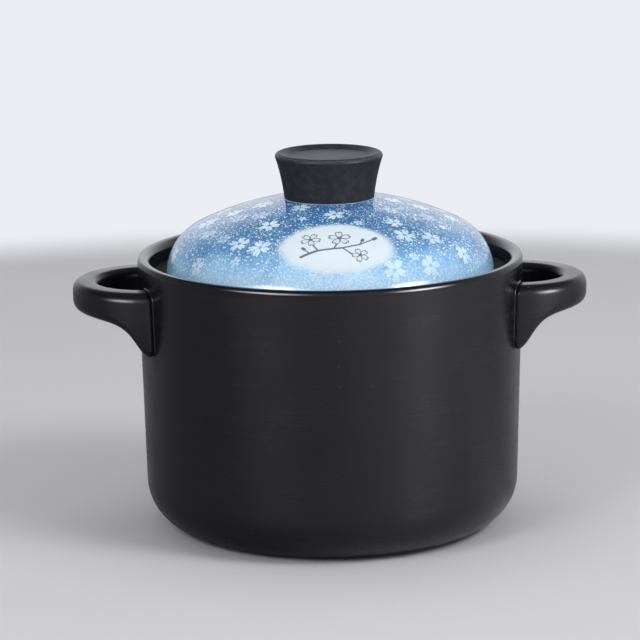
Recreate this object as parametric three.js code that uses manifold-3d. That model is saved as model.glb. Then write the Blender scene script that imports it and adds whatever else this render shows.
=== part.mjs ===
// Lidded clay cooking pot (donabe): a straight-sided stoneware pot with two loop handles, and a
// domed lid with a flared knob that rests on a ledge inside the rim.
// Millimetres, +Z up. The pot stands on z = 0, centred on the Z axis, with its handles along X.

import * as THREE from 'three';
import { mergeVertices } from 'three/addons/utils/BufferGeometryUtils.js';
import Module from 'manifold-3d';

// Pot body
const RIM_RADIUS = 110; // outside of the wall at the rim
const POT_HEIGHT = 157; // from the table to the crest of the rim
const WALL_TAPER = 3.8; // how far the wall's line leans in between the rim and the table
const WALL = 8.5; // thickness of the side wall
const LIP = 6.5; // thickness of the rim
const LIP_ROUND = 2.7; // rounding of the rim's two edges
const HEEL_RADIUS = 28; // outer rounding between the wall and the base
const FLOOR = 9; // height of the inner floor over the table
const FLOOR_FILLET = 20; // inner rounding between the wall and the floor
const FOOT_RING = 16; // width of the flat ring that the pot stands on
const BASE_HOLLOW = 1.5; // depth of the underside inside that ring

// Ledge that carries the lid
const LEDGE_DEPTH = 12; // from the rim's crest down to the ledge
const LEDGE_WIDTH = 14.5; // how far the ledge stands in from the lip
const LEDGE_NOSE = 5; // height of the ledge's inner edge
const LEDGE_SLOPE = 14; // how far its underside runs down to meet the wall
const LEDGE_ROUND = 1.5; // rounding of the ledge's corners

// Lid
const LID_LAP = 4.5; // how far the lid's edge laps over the ledge
const LID_RISE = 46; // from the ledge to the top of the dome
const LID_EDGE = 1.5; // height of the upright edge below the dome's shoulder
const LID_SHOULDER = 30; // radius of the shoulder arc
const LID_WALL = 5.5;
const SKIRT_DEPTH = 8; // the locating skirt below the ledge
const SKIRT_WALL = 4.5;
const SKIRT_CLEARANCE = 1.5; // play between the skirt and the pot's mouth
const LID_ROUND = 1.2; // rounding of the edge and the skirt
const VENT_RADIUS = 2.5; // lets the hollow knob breathe in the kiln

// Knob
const KNOB_HEIGHT = 24.2; // from the top of the dome to the knob's crest
const KNOB_BASE_RADIUS = 25.5;
const KNOB_OVERHANG = 5.2; // how far the knob's lip stands out past its base
const KNOB_LEAN = 1.8; // how far the stem leans out before it flares
const KNOB_FLARE = 12; // height of the flare, down from the crest
const KNOB_LIP_ROUND = 2.4;
const KNOB_WALL = 5;
const DISH_BORDER = 13.5; // from the lip in to the flat floor of the dish in the knob's top
const DISH_DEPTH = 1.8;

// Handles
const HANDLE_PROJECTION = 37; // how far the loop stands out from the rim's radius
const LOOP_WIDTH = 81.5; // across the outside of the loop
const BAR_WIDTH = 15; // the bar, seen from above
const BAR_HEIGHT = 16; // the bar at the loop's outer end
const BAR_ROUND = 4.5; // rounding of the bar's four edges, across the bar
const BAR_CROWN = 7.5; // the same rounding, up the bar's side
const ROUND_SHARE = 0.47; // the most of the bar's width or height that a rounding takes
const HANDLE_DROP = 13.5; // from the rim's crest down to the top of the handle
const FOOT_HEIGHT = 37.5; // where the handle meets the wall
const FOOT_SWEEP = 8.5; // distance from the wall at which the foot's lower sweep has half its depth
const FOOT_BEND = 2.5; // how sharply that sweep turns from the foot into the bar

// Fits and facets
const SEAT_GAP = 0.3; // between the lid and the ledge
const LUTE_GAP = 0.3; // line of slip between the pieces that are stuck together
const POT_SEGMENTS = 64;
const KNOB_SEGMENTS = 48;
const ROUND_STEPS = 2;
const BAR_STEPS = 18;
const BAR_CORNER_STEPS = 4;
const BAR_CROWDING = 1.7; // draws the bar's sections together near its feet

const ledgeHeight = POT_HEIGHT - LEDGE_DEPTH;
const mouthRadius = RIM_RADIUS - LIP - LEDGE_WIDTH;
const lidRadius = mouthRadius + LID_LAP;
const handleTop = POT_HEIGHT - HANDLE_DROP;
const taperAngle = Math.atan2(WALL_TAPER, POT_HEIGHT);

const wasm = await Module();
wasm.setup();

// Points of an arc in the (radius, height) plane, with angles in degrees.
function arc(radius, height, size, from, to, steps) {
  return Array.from({ length: steps + 1 }, (_, i) => {
    const angle = THREE.MathUtils.degToRad(from + ((to - from) * i) / steps);
    return new THREE.Vector2(radius + size * Math.cos(angle), height + size * Math.sin(angle));
  });
}

// A turned piece: a profile that runs up its outside, about the Z axis.
function turned(profile, segments) {
  return new THREE.LatheGeometry(profile, segments).rotateX(Math.PI / 2);
}

function point(radius, height) {
  return new THREE.Vector2(radius, height);
}

// Radius of the pot's outer wall line.
function wallRadius(height) {
  return RIM_RADIUS - (WALL_TAPER * (POT_HEIGHT - height)) / POT_HEIGHT;
}

// Centre radius of an arc that rounds the corner between a wall line, moved in, and a level floor.
function cornerCentre(inset, size, height) {
  return wallRadius(height) - (inset + size) / Math.cos(taperAngle);
}

function potProfile() {
  const taper = THREE.MathUtils.radToDeg(taperAngle);
  const heelCentre = cornerCentre(0, HEEL_RADIUS, HEEL_RADIUS);
  const footInner = heelCentre - FOOT_RING;
  const lipRound = Math.min(LIP_ROUND, LIP / 2);
  const lipHeight = POT_HEIGHT - lipRound;
  const lipInner = RIM_RADIUS - LIP;
  const noseBottom = ledgeHeight - LEDGE_NOSE;
  const slopeFoot = noseBottom - LEDGE_SLOPE;
  const filletHeight = FLOOR + FLOOR_FILLET;
  const filletCentre = cornerCentre(WALL, FLOOR_FILLET, filletHeight);
  return [
    point(0, BASE_HOLLOW),
    point(footInner - BASE_HOLLOW, BASE_HOLLOW),
    point(footInner, 0),
    ...arc(heelCentre, HEEL_RADIUS, HEEL_RADIUS, -90, -taper, 8),
    ...arc(RIM_RADIUS - lipRound, lipHeight, lipRound, -taper, 90, 4),
    ...arc(lipInner + lipRound, lipHeight, lipRound, 90, 180, 4),
    ...arc(lipInner - LEDGE_ROUND, ledgeHeight + LEDGE_ROUND, LEDGE_ROUND, 0, -90, ROUND_STEPS),
    ...arc(mouthRadius + LEDGE_ROUND, ledgeHeight - LEDGE_ROUND, LEDGE_ROUND, 90, 180, ROUND_STEPS),
    ...arc(mouthRadius + LEDGE_ROUND, noseBottom + LEDGE_ROUND, LEDGE_ROUND, 180, 225, 1),
    point(wallRadius(slopeFoot) - WALL, slopeFoot),
    ...arc(filletCentre, filletHeight, FLOOR_FILLET, -taper, -90, 6),
    point(0, FLOOR),
  ];
}

// The dome is a crown arc centred on the axis, which runs into a shoulder arc. Heights are over the
// lid's seat.
const shoulderCentre = lidRadius - LID_SHOULDER;
const crownRise = LID_RISE - LID_EDGE;
const crownRadius =
  (shoulderCentre ** 2 + crownRise ** 2 - LID_SHOULDER ** 2) / (2 * (crownRise - LID_SHOULDER));
const crownCentre = LID_RISE - crownRadius;
const crownEndAngle = Math.atan2(LID_EDGE - crownCentre, shoulderCentre);

function domeHeight(radius, inset) {
  return crownCentre + Math.sqrt((crownRadius - inset) ** 2 - radius ** 2);
}

// The dome's arcs, from the shoulder in to a radius near the axis. The inset gives the inner face.
function domePoints(inset, fromAngle, innerRadius, shoulderSteps, crownSteps) {
  const join = THREE.MathUtils.radToDeg(crownEndAngle);
  const crown = crownRadius - inset;
  const end = THREE.MathUtils.radToDeg(Math.acos(innerRadius / crown));
  return [
    ...arc(shoulderCentre, LID_EDGE, LID_SHOULDER - inset, fromAngle, join, shoulderSteps),
    ...arc(0, crownCentre, crown, join, end, crownSteps).slice(1),
  ];
}

function lidProfile() {
  const skirtOuter = mouthRadius - SKIRT_CLEARANCE;
  const skirtInner = skirtOuter - SKIRT_WALL;
  const innerShoulder = LID_SHOULDER - LID_WALL;
  const innerStart = THREE.MathUtils.radToDeg(Math.acos((skirtInner - shoulderCentre) / innerShoulder));
  const skirtEnd = LID_ROUND - SKIRT_DEPTH;
  const profile = [
    ...domePoints(LID_WALL, innerStart, VENT_RADIUS, 3, 6).reverse(),
    ...arc(skirtInner + LID_ROUND, skirtEnd, LID_ROUND, 180, 270, ROUND_STEPS),
    ...arc(skirtOuter - LID_ROUND, skirtEnd, LID_ROUND, -90, 0, ROUND_STEPS),
    point(skirtOuter, 0),
    ...arc(lidRadius - LID_ROUND, LID_ROUND, LID_ROUND, -90, 0, ROUND_STEPS),
    ...domePoints(0, 0, VENT_RADIUS, 6, 7),
  ];
  return [...profile, profile[0].clone()];
}

function knobProfile() {
  const crest = LID_RISE + KNOB_HEIGHT;
  const seat = (radius) => domeHeight(radius, 0) + LUTE_GAP;
  const boreRadius = KNOB_BASE_RADIUS - KNOB_WALL;
  const dishFloor = crest - DISH_DEPTH;
  const lipRadius = KNOB_BASE_RADIUS + KNOB_OVERHANG;
  const stem = new THREE.QuadraticBezierCurve(
    point(KNOB_BASE_RADIUS, seat(KNOB_BASE_RADIUS)),
    point(KNOB_BASE_RADIUS + KNOB_LEAN, crest - KNOB_FLARE),
    point(lipRadius, crest - KNOB_LIP_ROUND),
  );
  return [
    point(0, dishFloor - KNOB_WALL),
    point(boreRadius, dishFloor - KNOB_WALL),
    point(boreRadius, seat(boreRadius)),
    ...stem.getPoints(8).slice(0, -1),
    ...arc(lipRadius - KNOB_LIP_ROUND, crest - KNOB_LIP_ROUND, KNOB_LIP_ROUND, 0, 90, 3),
    point(lipRadius - DISH_BORDER, dishFloor),
    point(0, dishFloor),
  ];
}

// Joins rings of equal length into a closed solid with a flat cap on each end.
function loft(rings) {
  const count = rings[0].length;
  const last = (rings.length - 1) * count;
  const faces = [];
  for (let ring = 0; ring < last; ring += count) {
    for (let i = 0; i < count; i++) {
      const next = (i + 1) % count;
      faces.push(ring + i, ring + next, ring + count + i);
      faces.push(ring + next, ring + count + next, ring + count + i);
    }
  }
  for (let i = 1; i < count - 1; i++) {
    faces.push(0, i + 1, i);
    faces.push(last, last + i, last + i + 1);
  }
  return new THREE.BufferGeometry().setFromPoints(rings.flat()).setIndex(faces);
}

// Section of the handle's bar, across the path: an upright rectangle with edges rounded to part ellipses.
function barSection(bottom) {
  const across = Math.min(BAR_ROUND, ROUND_SHARE * BAR_WIDTH);
  const up = Math.min(BAR_CROWN, ROUND_SHARE * BAR_HEIGHT);
  const side = BAR_WIDTH / 2 - across;
  const low = bottom + up;
  const high = handleTop - up;
  const corners = [
    [side, low, -90],
    [side, high, 0],
    [-side, high, 90],
    [-side, low, 180],
  ];
  return corners.flatMap(([x, y, from]) => {
    const round = arc(0, 0, 1, from, from + 90, BAR_CORNER_STEPS);
    return round.map((unit) => point(x + across * unit.x, y + up * unit.y));
  });
}

// Half of the loop's centre line in plan, from the wall out to the loop's end on the X axis.
function loopStation(distance, root) {
  const bend = (LOOP_WIDTH - BAR_WIDTH) / 2;
  const bendCentre = RIM_RADIUS + HANDLE_PROJECTION - LOOP_WIDTH / 2;
  const straight = bendCentre - root;
  const turn = Math.max(0, distance - straight) / bend;
  const along = Math.min(distance, straight);
  return {
    position: new THREE.Vector3(root + along + bend * Math.sin(turn), bend * Math.cos(turn), 0),
    across: new THREE.Vector3(Math.sin(turn), Math.cos(turn), 0),
    end: straight + (bend * Math.PI) / 2,
  };
}

// How far the handle's lower edge hangs below the bar: full at the wall, then sweeping up and fading.
function footDrop(distance) {
  const share = Math.max(0, distance) / FOOT_SWEEP;
  return (FOOT_HEIGHT - BAR_HEIGHT) / (1 + share ** FOOT_BEND);
}

function handleGeometry() {
  const arm = (LOOP_WIDTH - BAR_WIDTH) / 2;
  const root = Math.sqrt(wallRadius(handleTop - FOOT_HEIGHT / 2) ** 2 - arm ** 2);
  const { end } = loopStation(0, root);
  const insideWall = -BAR_WIDTH;
  const distances = [insideWall];
  for (let i = 0; i <= BAR_STEPS; i++) {
    distances.push(end * (i / BAR_STEPS) ** BAR_CROWDING);
  }
  const half = distances.map((distance) => {
    const { position, across } = loopStation(distance, root);
    const section = barSection(handleTop - BAR_HEIGHT - footDrop(distance));
    return section.map(({ x, y }) => position.clone().addScaledVector(across, x).setZ(y));
  });
  const mirrored = half.slice(0, -1).reverse();
  const other = mirrored.map((ring) => ring.map(({ x, y, z }) => new THREE.Vector3(x, -y, z)));
  const bar = solid(loft([...half, ...other]));
  return geometryOf(bar.subtract(wallSolid(handleTop - 2 * FOOT_HEIGHT, POT_HEIGHT)));
}

// The space of the pot inside its outer wall line, grown by the slip line.
function wallSolid(bottom, top) {
  const profile = [
    point(0, bottom),
    point(wallRadius(bottom) + LUTE_GAP, bottom),
    point(wallRadius(top) + LUTE_GAP, top),
    point(0, top),
  ];
  return solid(turned(profile, POT_SEGMENTS));
}

function solid(geometry) {
  const bare = geometry.clone();
  bare.deleteAttribute('normal');
  bare.deleteAttribute('uv');
  const merged = mergeVertices(bare);
  return new wasm.Manifold(
    new wasm.Mesh({
      numProp: 3,
      vertProperties: merged.getAttribute('position').array,
      triVerts: new Uint32Array(merged.index.array),
    }),
  );
}

function geometryOf(body) {
  const mesh = body.getMesh();
  const geometry = new THREE.BufferGeometry();
  geometry.setAttribute('position', new THREE.BufferAttribute(mesh.vertProperties, mesh.numProp));
  geometry.setIndex(new THREE.BufferAttribute(mesh.triVerts, 1));
  geometry.computeVertexNormals();
  return geometry;
}

const blackGlaze = new THREE.MeshStandardMaterial({ color: 0x1d1d1f, roughness: 0.45 });
const rawBlack = new THREE.MeshStandardMaterial({ color: 0x232325, roughness: 0.6 });
const blueGlaze = new THREE.MeshStandardMaterial({ color: 0x6d9fd2, roughness: 0.12 });

function piece(name, geometry, material) {
  const mesh = new THREE.Mesh(geometry, material);
  mesh.name = name;
  return mesh;
}

const pot = new THREE.Group();
pot.add(piece('pot_body', turned(potProfile(), POT_SEGMENTS), blackGlaze));

const handle = handleGeometry();
const rightHandle = piece('right_handle', handle, blackGlaze);
const leftHandle = piece('left_handle', handle.clone(), blackGlaze);
leftHandle.rotation.z = Math.PI;
pot.add(rightHandle, leftHandle);

const lid = new THREE.Group();
lid.position.z = ledgeHeight + SEAT_GAP;
lid.add(piece('lid', turned(lidProfile(), POT_SEGMENTS), blueGlaze));
lid.add(piece('lid_knob', turned(knobProfile(), KNOB_SEGMENTS), rawBlack));

const donabe = new THREE.Group();
donabe.add(pot, lid);

export default donabe;
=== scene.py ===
"""A lidded clay cooking pot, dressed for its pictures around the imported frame.

The pieces are finer meshes than the frame's solids, made to the frame's sizes. The rim's edge, the
knob's dish and the handles' edges follow the photograph more closely than the solids do, and the left
handle's back arm sits higher. Every glaze and clay is procedural. Metres, +Z up, the handles along X
and the front towards -Y.
"""

import math
import random

import bpy
from mathutils import Matrix, Vector


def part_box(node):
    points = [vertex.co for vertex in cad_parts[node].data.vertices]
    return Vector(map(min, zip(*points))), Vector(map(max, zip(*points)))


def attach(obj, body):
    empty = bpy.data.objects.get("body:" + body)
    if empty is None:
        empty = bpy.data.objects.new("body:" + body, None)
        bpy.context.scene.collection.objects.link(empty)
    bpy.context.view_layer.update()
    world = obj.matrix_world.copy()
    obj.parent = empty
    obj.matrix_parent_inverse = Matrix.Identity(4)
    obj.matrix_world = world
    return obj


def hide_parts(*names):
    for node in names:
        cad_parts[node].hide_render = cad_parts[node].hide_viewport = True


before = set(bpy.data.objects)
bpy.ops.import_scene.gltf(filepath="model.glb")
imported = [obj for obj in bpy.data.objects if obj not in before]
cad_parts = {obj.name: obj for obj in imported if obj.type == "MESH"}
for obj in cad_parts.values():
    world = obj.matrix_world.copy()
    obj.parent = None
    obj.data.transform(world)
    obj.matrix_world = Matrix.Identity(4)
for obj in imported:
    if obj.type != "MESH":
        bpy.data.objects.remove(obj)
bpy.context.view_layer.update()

MM = 0.001

# Sizes that the frame gives
_, pot_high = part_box("pot_body")
_, lid_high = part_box("lid")
_, knob_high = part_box("lid_knob")
loop_low, loop_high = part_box("right_handle")
RIM_RADIUS = pot_high.x
POT_HEIGHT = pot_high.z
LID_RADIUS = lid_high.x
KNOB_CREST = knob_high.z
KNOB_RADIUS = knob_high.x
LOOP_END = loop_high.x
LOOP_WIDTH = loop_high.y - loop_low.y
HANDLE_TOP = loop_high.z
FOOT_HEIGHT = loop_high.z - loop_low.z

# Pot
WALL_TAPER = 3.8 * MM
WALL = 8.5 * MM
LIP = 7.6 * MM
LIP_EDGE = (1.6 * MM, 3.2 * MM)  # how far in and down the rim's outer edge is rounded
LIP_INNER_ROUND = 4.8 * MM
HEEL_RADIUS = 28 * MM
FLOOR = 9 * MM
FLOOR_FILLET = 20 * MM
FOOT_RING = 16 * MM
BASE_HOLLOW = 1.5 * MM
LEDGE_DEPTH = 12 * MM
LEDGE_NOSE = 5 * MM
LEDGE_SLOPE = 14 * MM
LEDGE_ROUND = 1.5 * MM
FOOT_BARE = 4  # points of the heel's arc that are left unglazed
NOSE_BARE = 3  # and of the arc on top of the ledge's nose

# Lid and knob
LID_LAP = 4.5 * MM
LID_RISE = 46 * MM
LID_EDGE = 1.5 * MM
LID_SHOULDER = 30 * MM
LID_WALL = 5.5 * MM
SKIRT_DEPTH = 8 * MM
SKIRT_WALL = 4.5 * MM
SKIRT_CLEARANCE = 1.5 * MM
LID_ROUND = 1.2 * MM
LID_BARE = 3  # points of the rounded edge that are left unglazed
VENT_RADIUS = 2.5 * MM
SEAT_GAP = 0.3 * MM
KNOB_OVERHANG = 5.2 * MM
KNOB_LEAN = 1.8 * MM
KNOB_FLARE = 12 * MM
KNOB_LIP_ROUND = 2.4 * MM
KNOB_WALL = 5 * MM
DISH_DEPTH = 2.3 * MM
DISH_SLOPE = 23  # degrees, of the bevel from the knob's lip into its dish
DISH_FILLET = 6 * MM
MENISCUS = 0.30 * MM  # radius of the bead of glaze that runs round the knob's foot
MENISCUS_OUT = 0.3  # how far outside that foot the bead's middle stands, of its radius

# Handles
BAR_WIDTH = 15 * MM
BAR_HEIGHT = 16 * MM
BAR_ROUND = 4.5 * MM
BAR_CROWN = 5.6 * MM
FOOT_SWEEP = 8.5 * MM
FOOT_BEND = 2.5
FOOT_PINCH = 0.8 * MM  # how far the foot draws in where it meets the wall
PINCH_LENGTH = 1.1 * MM
WALL_FADE = 9 * MM  # length over which the sections turn from the wall's curve to flat
LEFT_RISE = 2.2 * MM  # the left handle's back arm was set this much higher than its front arm
SLIP_BEAD = 0.65 * MM  # radius of the line of slip round each foot
SLIP_OFFSET = 0.35 * MM  # from the foot's outline out to the middle of that line
SLIP_TAPER = 9 * MM  # the line thins out over about this height above the foot's lower end
SLIP_END = 0.15  # share of its radius that it keeps at that end
EMBED = 0.5 * MM  # how far a foot runs into the wall

# How finely the pieces are divided
TURN_STEPS = 256
KNOB_STEPS = 144
STEM_STEPS = 25
FOOT_SECTIONS = (0, 0.3 * MM, 0.7 * MM, 1.2 * MM, 1.8 * MM, 2.5 * MM)  # distances from the wall
BAR_START = 3.2 * MM  # where the rest of a handle's sections start
BAR_STEPS = 44  # from there to the middle of the loop
BAR_CROWDING = 1.35  # above 1, they stand closer together towards the wall
SLIP_STEP = 1.6 * MM
SLIP_SIDES = 10
SHARP_ANGLE = math.radians(40)  # an edge that turns more than this isn't smoothed
ON_AXIS = 0.001 * MM  # a profile's point nearer than this to the axis is a single point

ledge_height = POT_HEIGHT - LEDGE_DEPTH
mouth_radius = LID_RADIUS - LID_LAP
lid_seat = ledge_height + SEAT_GAP
taper_angle = math.atan2(WALL_TAPER, POT_HEIGHT)
shoulder_centre = LID_RADIUS - LID_SHOULDER
crown_rise = LID_RISE - LID_EDGE
crown_radius = (shoulder_centre**2 + crown_rise**2 - LID_SHOULDER**2) / 2 / (crown_rise - LID_SHOULDER)
crown_centre = LID_RISE - crown_radius
crown_end = math.atan2(LID_EDGE - crown_centre, shoulder_centre)
loop_bend = (LOOP_WIDTH - BAR_WIDTH) / 2


def arc(radius, height, size, start, end, steps):
    """Points of an arc in the (radius, height) plane, with angles in degrees."""
    angles = [math.radians(start + (end - start) * i / steps) for i in range(steps + 1)]
    return [(radius + size * math.cos(a), height + size * math.sin(a)) for a in angles]


def line(start, end, steps):
    """Points of a straight run, without its first."""
    shares = [(i + 1) / steps for i in range(steps)]
    return [tuple(a + (b - a) * share for a, b in zip(start, end)) for share in shares]


def bow(start, pull, end, steps):
    """Points of a curve from start to end that is drawn towards a third point, without its last."""
    points = []
    for i in range(steps):
        t = i / steps
        shares = ((1 - t) ** 2, 2 * t * (1 - t), t * t)
        points.append(tuple(sum(s * p[k] for s, p in zip(shares, (start, pull, end))) for k in (0, 1)))
    return points


def make_object(name, vertices, faces, materials, zones=None):
    """A smooth mesh object. A zone is the number of a face's material."""
    mesh = bpy.data.meshes.new(name)
    mesh.from_pydata(vertices, [], faces)
    for material in materials:
        mesh.materials.append(material)
    if zones:
        mesh.polygons.foreach_set("material_index", zones)
    mesh.polygons.foreach_set("use_smooth", [True] * len(faces))
    mesh.set_sharp_from_angle(angle=SHARP_ANGLE)
    mesh.update()
    piece = bpy.data.objects.new(name, mesh)
    bpy.context.scene.collection.objects.link(piece)
    return piece


def turned(name, runs, steps, closed=False):
    """A piece turned about the Z axis. The runs, each with its material, make one profile that goes
    out along the underside and up the outside."""
    materials = list(dict.fromkeys(material for material, _ in runs))
    profile = [(point, materials.index(material)) for material, run in runs for point in run]
    vertices = []
    rings = []
    for (radius, height), _ in profile:
        count = steps if radius > ON_AXIS else 1
        rings.append([len(vertices) + i for i in range(count)])
        for i in range(count):
            angle = 2 * math.pi * i / steps
            vertices.append((radius * math.cos(angle), radius * math.sin(angle), height))
    if closed:
        profile.append(profile[0])
        rings.append(rings[0])
    faces = []
    zones = []
    for low, high, (_, zone) in zip(rings, rings[1:], profile[1:]):
        for i in range(steps):
            j = (i + 1) % steps
            corners = [low[i % len(low)], low[j % len(low)], high[j % len(high)], high[i % len(high)]]
            faces.append(list(dict.fromkeys(corners)))
            zones.append(zone)
    return make_object(name, vertices, faces, materials, zones)


def wall_radius(height):
    return RIM_RADIUS - WALL_TAPER * (POT_HEIGHT - height) / POT_HEIGHT


def corner_centre(inset, size, height):
    """Centre radius of an arc between a wall line, moved in, and a level floor."""
    return wall_radius(height) - (inset + size) / math.cos(taper_angle)


def lip_points():
    """The rim, from the wall over its part-ellipse outer edge to its rounded inner edge."""
    edge_in, edge_down = LIP_EDGE
    height = POT_HEIGHT - edge_down
    crest = RIM_RADIUS - edge_in
    reach = wall_radius(height) - crest
    outer = [(crest + reach * x, height + edge_down * y) for x, y in arc(0, 0, 1, 0, 90, steps=18)]
    centre = (RIM_RADIUS - LIP + LIP_INNER_ROUND, POT_HEIGHT - LIP_INNER_ROUND)
    return outer + arc(*centre, LIP_INNER_ROUND, 90, 180, steps=14)


def pot_runs(glaze, clay):
    taper = math.degrees(taper_angle)
    heel = corner_centre(0, HEEL_RADIUS, HEEL_RADIUS)
    foot_inner = heel - FOOT_RING
    lip_inner = RIM_RADIUS - LIP
    nose_bottom = ledge_height - LEDGE_NOSE
    slope_foot = nose_bottom - LEDGE_SLOPE
    fillet_height = FLOOR + FLOOR_FILLET
    fillet = corner_centre(WALL, FLOOR_FILLET, fillet_height)
    heel_arc = arc(heel, HEEL_RADIUS, HEEL_RADIUS, -90, -taper, steps=24)
    lip = lip_points()
    ledge = arc(lip_inner - LEDGE_ROUND, ledge_height + LEDGE_ROUND, LEDGE_ROUND, 0, -90, steps=6)
    nose = arc(mouth_radius + LEDGE_ROUND, ledge_height - LEDGE_ROUND, LEDGE_ROUND, 90, 180, steps=6)
    nose_low = arc(mouth_radius + LEDGE_ROUND, nose_bottom + LEDGE_ROUND, LEDGE_ROUND, 180, 225, steps=4)
    wall_foot = (wall_radius(slope_foot) - WALL, slope_foot)
    floor_arc = arc(fillet, fillet_height, FLOOR_FILLET, -taper, -90, steps=16)
    outside = line(heel_arc[-1], lip[0], steps=24)
    inside = line(wall_foot, floor_arc[0], steps=16)
    return [
        (glaze, [(0, BASE_HOLLOW), (foot_inner - BASE_HOLLOW, BASE_HOLLOW)]),
        (clay, [(foot_inner, 0), *heel_arc[:FOOT_BARE]]),
        (glaze, [*heel_arc[FOOT_BARE:], *outside, *lip[1:], ledge[0]]),
        (clay, [*ledge[1:], *nose[:NOSE_BARE]]),
        (glaze, [*nose[NOSE_BARE:], *nose_low, wall_foot, *inside, *floor_arc[1:], (0, FLOOR)]),
    ]


def dome_height(radius):
    """Height of the dome's crown over the lid's seat."""
    return crown_centre + math.sqrt(crown_radius**2 - radius**2)


def dome_points(inset, start, inner_radius, shoulder_steps, crown_steps):
    """The dome's arcs, from the shoulder in to a radius near the axis. The inset gives the inner face."""
    join = math.degrees(crown_end)
    crown = crown_radius - inset
    end = math.degrees(math.acos(inner_radius / crown))
    shoulder = arc(shoulder_centre, LID_EDGE, LID_SHOULDER - inset, start, join, shoulder_steps)
    return shoulder + arc(0, crown_centre, crown, join, end, crown_steps)[1:]


def dome_run(radius, height):
    """Distance along the dome from its top to a point of its profile, over the seat."""
    if math.atan2(height - crown_centre, radius) > crown_end:
        return crown_radius * math.atan2(radius, height - crown_centre)
    angle = math.atan2(height - LID_EDGE, radius - shoulder_centre)
    return crown_radius * (math.pi / 2 - crown_end) + LID_SHOULDER * (crown_end - angle)


def lid_runs(print_glaze, inner_glaze, clay):
    skirt_outer = mouth_radius - SKIRT_CLEARANCE
    skirt_inner = skirt_outer - SKIRT_WALL
    skirt_end = LID_ROUND - SKIRT_DEPTH
    inner_start = math.degrees(math.acos((skirt_inner - shoulder_centre) / (LID_SHOULDER - LID_WALL)))
    inner = dome_points(LID_WALL, inner_start, VENT_RADIUS, shoulder_steps=10, crown_steps=40)[::-1]
    skirt_in = arc(skirt_inner + LID_ROUND, skirt_end, LID_ROUND, 180, 270, steps=5)
    skirt_out = arc(skirt_outer - LID_ROUND, skirt_end, LID_ROUND, -90, 0, steps=5)
    edge = arc(LID_RADIUS - LID_ROUND, LID_ROUND, LID_ROUND, -90, 0, steps=6)
    dome = dome_points(0, 0, VENT_RADIUS, shoulder_steps=28, crown_steps=56)
    runs = [
        (inner_glaze, inner + skirt_in),
        (clay, skirt_out + [(skirt_outer, 0)] + edge[:LID_BARE]),
        (print_glaze, edge[LID_BARE:] + dome),
        (clay, [inner[0]]),
    ]
    return [(material, [(r, lid_seat + z) for r, z in run]) for material, run in runs]


def knob_runs(glaze):
    base_radius = KNOB_RADIUS - KNOB_OVERHANG
    bore = base_radius - KNOB_WALL
    dish_floor = KNOB_CREST - DISH_DEPTH
    ceiling = dish_floor - KNOB_WALL
    foot = (base_radius, lid_seat + dome_height(base_radius) - MENISCUS)
    pull = (base_radius + KNOB_LEAN, KNOB_CREST - KNOB_FLARE)
    brow = (KNOB_RADIUS, KNOB_CREST - KNOB_LIP_ROUND)
    stem = bow(foot, pull, brow, STEM_STEPS)
    lip = arc(brow[0] - KNOB_LIP_ROUND, brow[1], KNOB_LIP_ROUND, 0, 90 + DISH_SLOPE, steps=14)
    slope = math.radians(DISH_SLOPE)
    bevel_drop = lip[-1][1] - dish_floor - DISH_FILLET * (1 - math.cos(slope))
    fillet = lip[-1][0] - bevel_drop / math.tan(slope) - DISH_FILLET * math.sin(slope)
    dish = arc(fillet, dish_floor + DISH_FILLET, DISH_FILLET, DISH_SLOPE - 90, -90, steps=6)
    inside = [(0, ceiling), (bore, ceiling), (bore, lid_seat + dome_height(bore) - MENISCUS)]
    return [(glaze, inside + stem + lip + dish + [(0, dish_floor)])]


def meniscus_runs(glaze):
    radius = KNOB_RADIUS - KNOB_OVERHANG + MENISCUS_OUT * MENISCUS
    height = lid_seat + dome_height(radius)
    return [(glaze, arc(radius, height, MENISCUS, -90, 270, steps=12)[:-1])]


def bar_section(bottom, top, width, steps=9):
    """Points (across, height) round the handle's bar: an upright rectangle with edges rounded to part
    ellipses."""
    side = width / 2 - BAR_ROUND
    low = bottom + BAR_CROWN
    high = top - BAR_CROWN
    corners = [(side, low, -90), (side, high, 0), (-side, high, 90), (-side, low, 180)]
    points = []
    for across, height, start in corners:
        unit = arc(0, 0, 1, start, start + 90, steps)
        points += [(across + BAR_ROUND * x, height + BAR_CROWN * y) for x, y in unit]
    return points


def wall_reach(across, height):
    """How far out the wall stands at a place across the pot."""
    return math.sqrt(wall_radius(height) ** 2 - across**2)


def foot_section(distance):
    """The bar's section at a distance from the wall, with the foot's sweep and the pinch at the wall."""
    past = max(distance, 0)
    drop = (FOOT_HEIGHT - BAR_HEIGHT) / (1 + (past / FOOT_SWEEP) ** FOOT_BEND)
    pinch = FOOT_PINCH * math.exp(-((past / PINCH_LENGTH) ** 2))
    return bar_section(HANDLE_TOP - BAR_HEIGHT - drop + pinch, HANDLE_TOP - pinch, BAR_WIDTH - 2 * pinch)


def handle_rings():
    """Sections of the right handle, from its front foot round the loop to its back foot."""
    root = wall_reach(loop_bend, HANDLE_TOP - FOOT_HEIGHT / 2)
    straight = LOOP_END - LOOP_WIDTH / 2 - root
    length = straight + loop_bend * math.pi / 2 - BAR_START
    distances = [-EMBED, *FOOT_SECTIONS]
    distances += [BAR_START + length * (i / BAR_STEPS) ** BAR_CROWDING for i in range(BAR_STEPS + 1)]
    half = []
    for distance in distances:
        turn = max(0, distance - straight) / loop_bend
        along = root + min(distance, straight) + loop_bend * math.sin(turn)
        fade = max(0, 1 - distance / WALL_FADE) ** 2
        ring = []
        for across, height in foot_section(distance):
            y = (loop_bend + across) * math.cos(turn)
            to_wall = wall_reach(y, height) - root if fade > 0 else 0
            ring.append(Vector((along + across * math.sin(turn) + fade * to_wall, -y, height)))
        half.append(ring)
    mirrored = [[Vector((p.x, -p.y, p.z)) for p in ring] for ring in half[-2::-1]]
    return half + mirrored


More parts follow.
